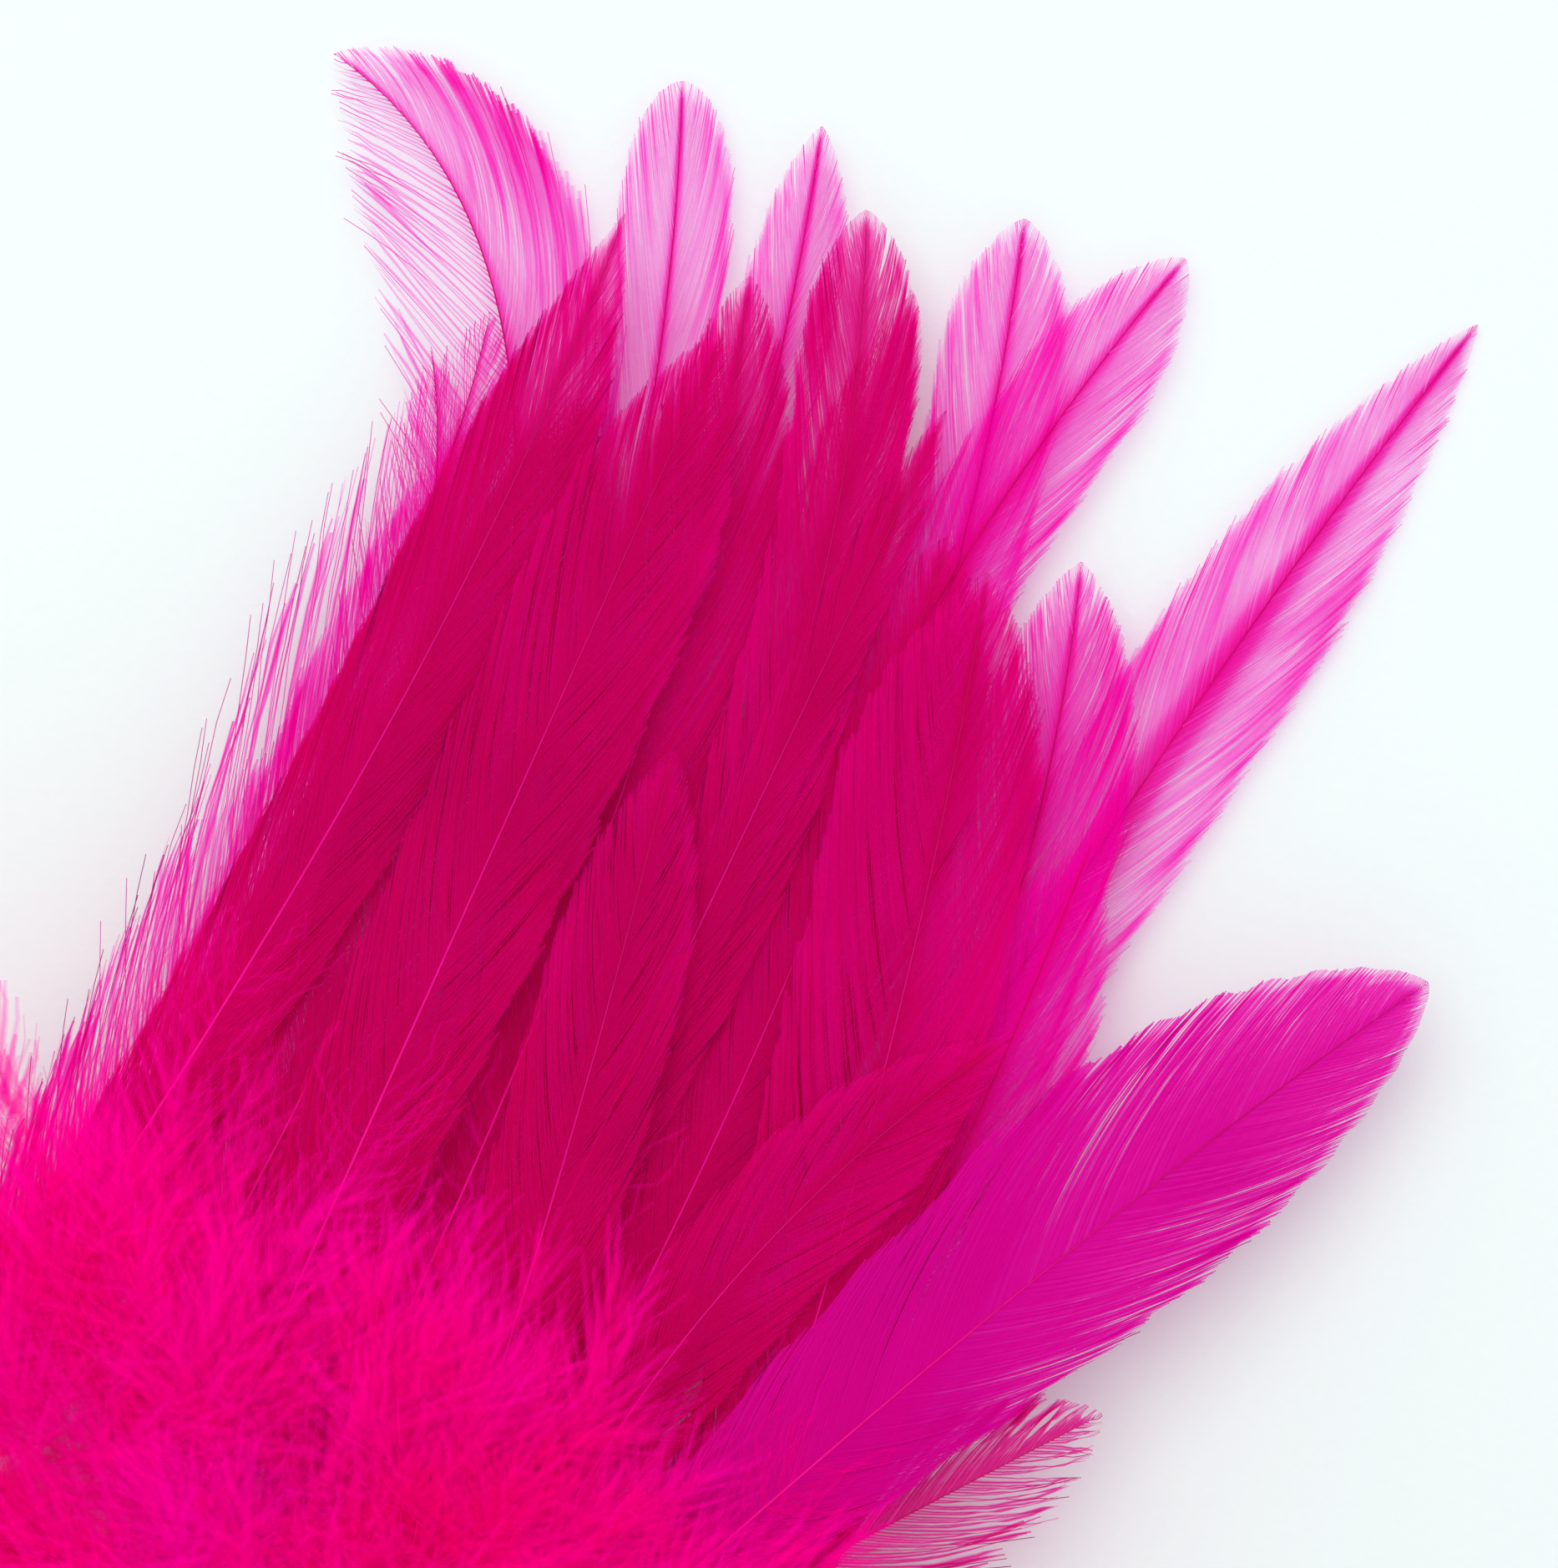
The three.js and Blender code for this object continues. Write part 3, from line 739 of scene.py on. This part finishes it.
# Down round the cord from start over middle to end. Plume roots sit on the cord, some of them are short, and
# a plume's reach is a part of 1 / sqrt((cos / width)^2 + (sin / height)^2) - barbRoom.
def bodyDown(name, start, middle, end, seed, count):
    rng = np.random.default_rng(seed)
    first, second = np.linalg.norm(middle - start), np.linalg.norm(end - middle)
    place = rng.uniform(0, first + second, count)
    onFirst = place < first
    fore, aft = unit(middle - start), unit(end - middle) if second else unit(middle - start)
    root = np.where(onFirst[:, None], start + fore * place[:, None], middle + aft * (place - first)[:, None])
    mixing = np.clip((place - first) / (40 * mm) * 0.5 + 0.5, 0, 1)[:, None]
    along = unit(fore * (1 - mixing) + aft * mixing)
    side = np.cross(along, [0, 0, 1])
    angle = rng.uniform(0, 2 * math.pi, count)
    lean = rng.normal(0, 0.35, count)
    radial = side * np.cos(angle)[:, None] + np.array([0, 0, 1]) * np.sin(angle)[:, None]
    direction = unit(radial + along * lean[:, None])
    oval = 1 / np.sqrt((np.cos(angle) / body["width"]) ** 2 + (np.sin(angle) / body["height"]) ** 2)
    short = rng.uniform(0, 1, count) < body["shortShare"]
    part = np.where(short, body["shortReach"], 1) * rng.uniform(0.62, 0.98, count)
    length = (oval - body["barbRoom"]) * part
    parts = plumeParts(root + direction * body["rootGap"], direction, length, rng, body)
    return pieceFrom(name, parts, [bodyMaterial])


# End pieces ride on their segment; the others lie over a hinge and bend from one segment to the next.
def allBodyDown():
    count = body["plumes"] // quickPart
    middles = (cordLine[:-1] + cordLine[1:]) / 2
    back = unit(cordLine[1] - cordLine[0])
    startPoint = cordLine[0] + back * body["bluntEnd"]
    piece = bodyDown("down_near_end", startPoint, (startPoint + middles[0]) / 2, middles[0], 700, count // 3)
    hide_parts("down_sleeve_01")
    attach(piece, "segment_01")
    for number in range(1, segmentCount):
        name = f"down_over_hinge_{number:02d}"
        piece = bodyDown(name, middles[number - 1], cordLine[number], middles[number], 700 + number, count)
        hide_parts(f"down_sleeve_{number + 1:02d}")
        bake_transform(piece)
    front = unit(cordLine[-1] - cordLine[-2])
    endPoint = cordLine[-1] - front * body["bluntEnd"]
    piece = bodyDown("down_far_end", middles[-1], (endPoint + middles[-1]) / 2, endPoint, 720, count // 3)
    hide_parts("down_sleeve_08")
    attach(piece, "segment_08")
    print("body down made")


allBodyDown()


puff = {
    "plumes": 420,
    "barbs": 46,
    "points": 6,
    "barbLength": 12 * mm,
    "barbHalf": 0.8 * mm,
    "rootHeight": (24 * mm, 36 * mm),
    "plumeLength": (12 * mm, 26 * mm),
    "rootSpread": (0.78, 0.7),  # part of the dome's half width and half length that holds the roots
}


# Plume roots lie in an oval at tape height; directions lean out along the tuft and up, more so in the middle.
def tuftDown(end, place, halfWidth, halfLength, centreOut, seed):
    rng = np.random.default_rng(seed)
    count = puff["plumes"] // quickPart
    ring = np.sqrt(rng.uniform(0, 1, count))
    angle = rng.uniform(0, 2 * math.pi, count)
    across = ring * np.cos(angle) * halfWidth * puff["rootSpread"][0]
    outward = ring * np.sin(angle) * halfLength * puff["rootSpread"][1] + centreOut
    root = place["origin"] + place["across"] * across[:, None] + place["out"] * outward[:, None]
    root[:, 2] = rng.uniform(*puff["rootHeight"], count)
    aside = across / halfWidth * 0.9 + rng.normal(0, 0.45, count)
    ahead = (outward - centreOut) / halfLength * 0.6 + 0.25 + rng.normal(0, 0.4, count)
    way = place["across"] * aside[:, None] + place["out"] * ahead[:, None]
    way[:, 2] += rng.uniform(0.0, 0.7, count) * (1.1 - ring)
    direction = unit(way)
    length = rng.uniform(*puff["plumeLength"], count)
    parts = plumeParts(root, direction, length, rng, puff)
    piece = pieceFrom("loose_down_" + end, parts, [downMaterial])
    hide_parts("down_puff_" + end)
    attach(piece, "segment_01" if end == "near" else "segment_08")


tuftDown("near", nearPlace, 60 * mm, 28 * mm, 8 * mm, 801)
tuftDown("far", farPlace, 42 * mm, 25 * mm, 7 * mm, 802)
print("loose down made")


for node, piece in frame["nodes"].items():
    if piece.hide_render:
        continue
    material = (ropeMaterial if node.startswith(("core_cord", "end_knot"))
                else threadMaterial if node.startswith("whipping") else tapeMaterial)
    piece.data.materials.clear()
    piece.data.materials.append(material)


# A plain sheet of white paper at table height, 5 m wide.
def makeFloor():
    mesh = bpy.data.meshes.new("paper")
    size = 2.5
    corners = [(-size, -size, 0), (size, -size, 0), (size, size, 0), (-size, size, 0)]
    mesh.from_pydata(corners, [], [(0, 1, 2, 3)])
    low, high = (0.765, 0.85, 0.84, 1), (0.785, 0.87, 0.86, 1)
    mesh.materials.append(mixedMaterial("whitePaper", low, high, 0.9, paperRecipe, 0.00004))
    floor = bpy.data.objects.new("paper", mesh)
    bpy.context.scene.collection.objects.link(floor)


# An even pale sky and one soft lamp over the near tuft.
def makeLight():
    studio = {"sky": 0.72, "lampWatts": 7.6, "lampSide": 0.9, "lampPlace": (-0.10, 0.42, 1.05)}
    world = bpy.data.worlds.new("studio")
    world.use_nodes = True
    sky = world.node_tree.nodes["Background"]
    sky.inputs["Color"].default_value = (1, 1, 1, 1)
    sky.inputs["Strength"].default_value = studio["sky"]
    bpy.context.scene.world = world
    lamp = bpy.data.lights.new("softbox", "AREA")
    lamp.size = studio["lampSide"]
    lamp.energy = studio["lampWatts"]
    softbox = bpy.data.objects.new("softbox", lamp)
    softbox.location = nearPlace["origin"] + np.array(studio["lampPlace"])
    aim = Vector(nearPlace["origin"] + nearPlace["out"] * 0.09) - Vector(softbox.location)
    softbox.rotation_euler = aim.to_track_quat("-Z", "Y").to_euler()
    bpy.context.scene.collection.objects.link(softbox)


# Straight above the tuft, in metres but for across and out in mm. The lens shows tall metres at the height
# called level: lens = sensor height * (height - level) / tall.
def makeCamera():
    view = {"across": -2.9, "out": 94.6, "height": 0.56, "level": 0.001, "tall": 0.1500}
    aside = nearPlace["across"] * view["across"] * mm
    centre = nearPlace["origin"] + aside + nearPlace["out"] * view["out"] * mm
    data = bpy.data.cameras.new("camera")
    data.sensor_fit = "VERTICAL"
    data.sensor_height = 36
    data.lens = 36 * (view["height"] - view["level"]) / view["tall"]
    data.clip_start = 0.01
    camera = bpy.data.objects.new("camera", data)
    camera.location = (centre[0], centre[1], view["height"])
    bpy.context.scene.collection.objects.link(camera)
    bpy.context.scene.camera = camera


makeFloor()
makeLight()
makeCamera()
scene = bpy.context.scene
scene.view_settings.view_transform = "Standard"
scene.cycles.transparent_max_bounces = 36  # light passes through at most this many barbs
print("stage made")
